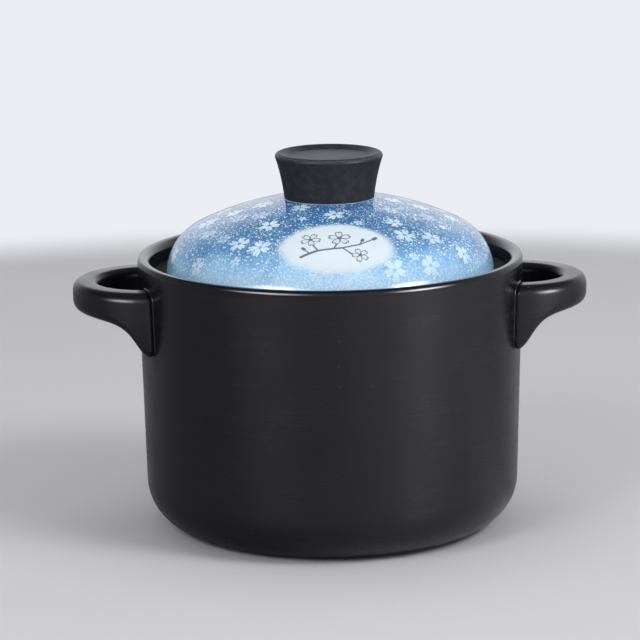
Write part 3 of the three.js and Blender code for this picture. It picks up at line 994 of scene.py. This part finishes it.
def make_floor():
    material, g = new_material("pale_floor")
    position = g.object_position()
    far = g.smooth(g.vector("LENGTH", position), *TABLE_EDGE)
    direction = g.vector("NORMALIZE", position)
    to_right = g.vector("DOT_PRODUCT", direction, (1, 0, 0))
    side = g.smooth(to_right, *TABLE_SIDES, low=TABLE_LEFT_SHARE, high=1.0)
    to_back = g.vector("DOT_PRODUCT", direction, (0, 1, 0))
    back = g.smooth(to_back, *TABLE_BACK, low=1.0, high=TABLE_BACK_SHARE)
    seen, mirrored, strength = backdrop(g, g.math("MINIMUM", side, back))
    matt = g.node("ShaderNodeBsdfDiffuse", {"Color": g.vector("SCALE", TABLE_GREY, scale=strength)})
    gloss = g.node("ShaderNodeBsdfGlossy", {"Roughness": SHEEN_ROUGHNESS})
    sheen = g.math("MULTIPLY", mirrored, TABLE_SHEEN)
    table = g.node("ShaderNodeMixShader", {0: sheen, 1: matt.outputs[0], 2: gloss.outputs[0]})
    ground = g.node("ShaderNodeEmission", {"Color": GROUND_WHITE, "Strength": strength})
    share = g.math("MULTIPLY", far, seen)
    mixed = g.node("ShaderNodeMixShader", {0: share, 1: table.outputs[0], 2: ground.outputs[0]})
    g.node("ShaderNodeOutputMaterial", {"Surface": mixed.outputs[0]})
    corners = [(TABLE_RADIUS * x, TABLE_RADIUS * y, 0) for x, y in ((-1, -1), (1, -1), (1, 1), (-1, 1))]
    make_object("floor", corners, [(0, 1, 2, 3)], [material])


def make_world():
    world = bpy.data.worlds.new("studio")
    bpy.context.scene.world = world
    world.use_nodes = True
    g = Graph(world.node_tree)
    direction = g.node("ShaderNodeTexCoord").outputs["Generated"]
    rise = g.vector("DOT_PRODUCT", direction, (-SKY_TILT, 0, 1))
    sky = g.mix(g.smooth(rise, *SKY_EDGE), GROUND_WHITE, SKY_DIM)
    to_right = g.vector("DOT_PRODUCT", direction, (1, 0, 0))
    right_side = g.smooth(to_right, *RIGHT_DIM, low=1.0, high=RIGHT_SHARE)
    to_left = g.vector("DOT_PRODUCT", direction, (-1, 0, 0))
    left_side = g.smooth(to_left, *LEFT_DIM, low=1.0, high=LEFT_SHARE)
    seen, _, strength = backdrop(g, g.math("MINIMUM", left_side, right_side))
    shown = g.node("ShaderNodeBackground", {"Color": sky, "Strength": strength})
    light = g.node("ShaderNodeBackground", {"Color": (1, 1, 1, 1), "Strength": AMBIENT})
    mixed = g.node("ShaderNodeMixShader", {0: seen, 1: light.outputs[0], 2: shown.outputs[0]})
    g.node("ShaderNodeOutputWorld", {"Surface": mixed.outputs[0]})


def make_lamp(name, azimuth, distance, height, face, radiance, role):
    """A lamp that faces the pot, brightest in its middle and fading to its edges."""
    lamp = bpy.data.lights.new(name, "AREA")
    lamp.shape = "RECTANGLE"
    lamp.size, lamp.size_y = face
    lamp.energy = math.pi * lamp.size * lamp.size_y * radiance
    lamp.use_nodes = True
    g = Graph(lamp.node_tree)
    across = g.node("ShaderNodeNewGeometry").outputs["Parametric"]
    from_middle = g.vector("LENGTH", g.vector("MULTIPLY_ADD", across, (2, 2, 0), (-1, -1, 0)))
    glow = g.node("ShaderNodeEmission", {"Color": (1, 1, 1, 1), "Strength": g.smooth(from_middle, 1.0, 0.0)})
    g.node("ShaderNodeOutputLight", {"Surface": glow.outputs[0]})
    turn = math.radians(azimuth)
    place = Vector((distance * math.sin(turn), -distance * math.cos(turn), height))
    box = bpy.data.objects.new(name, lamp)
    box.location = place
    box.rotation_euler = (Vector((0, 0, POT_HEIGHT)) - place).to_track_quat("-Z", "Y").to_euler()
    box.visible_camera = False
    box.visible_glossy = role == "mirrored"
    box.visible_diffuse = role == "lighting"
    bpy.context.scene.collection.objects.link(box)


def make_camera():
    data = bpy.data.cameras.new("camera")
    data.sensor_width = SENSOR
    data.lens = FOCAL_PIXELS / FRAME_PIXELS * SENSOR
    data.clip_end = CLIP_END
    level = math.cos(CAMERA_PITCH)
    forward = Vector((math.sin(CAMERA_YAW) * level, math.cos(CAMERA_YAW) * level, -math.sin(CAMERA_PITCH)))
    to_right = Vector((math.cos(CAMERA_YAW), -math.sin(CAMERA_YAW), 0))
    up = to_right.cross(forward)
    across = to_right * math.cos(CAMERA_ROLL) + up * math.sin(CAMERA_ROLL)
    upward = up * math.cos(CAMERA_ROLL) - to_right * math.sin(CAMERA_ROLL)
    stand = Matrix((across, upward, -forward)).transposed().to_4x4()
    stand.translation = (0, -CAMERA_DISTANCE, CAMERA_HEIGHT)
    camera = bpy.data.objects.new("camera", data)
    camera.matrix_world = Matrix.Rotation(CAMERA_ROUND, 4, "Z") @ stand
    bpy.context.scene.collection.objects.link(camera)
    bpy.context.scene.camera = camera


make_floor()
make_world()
for settings in LAMPS:
    make_lamp(*settings)
make_camera()
bpy.context.scene.view_settings.view_transform = "Standard"
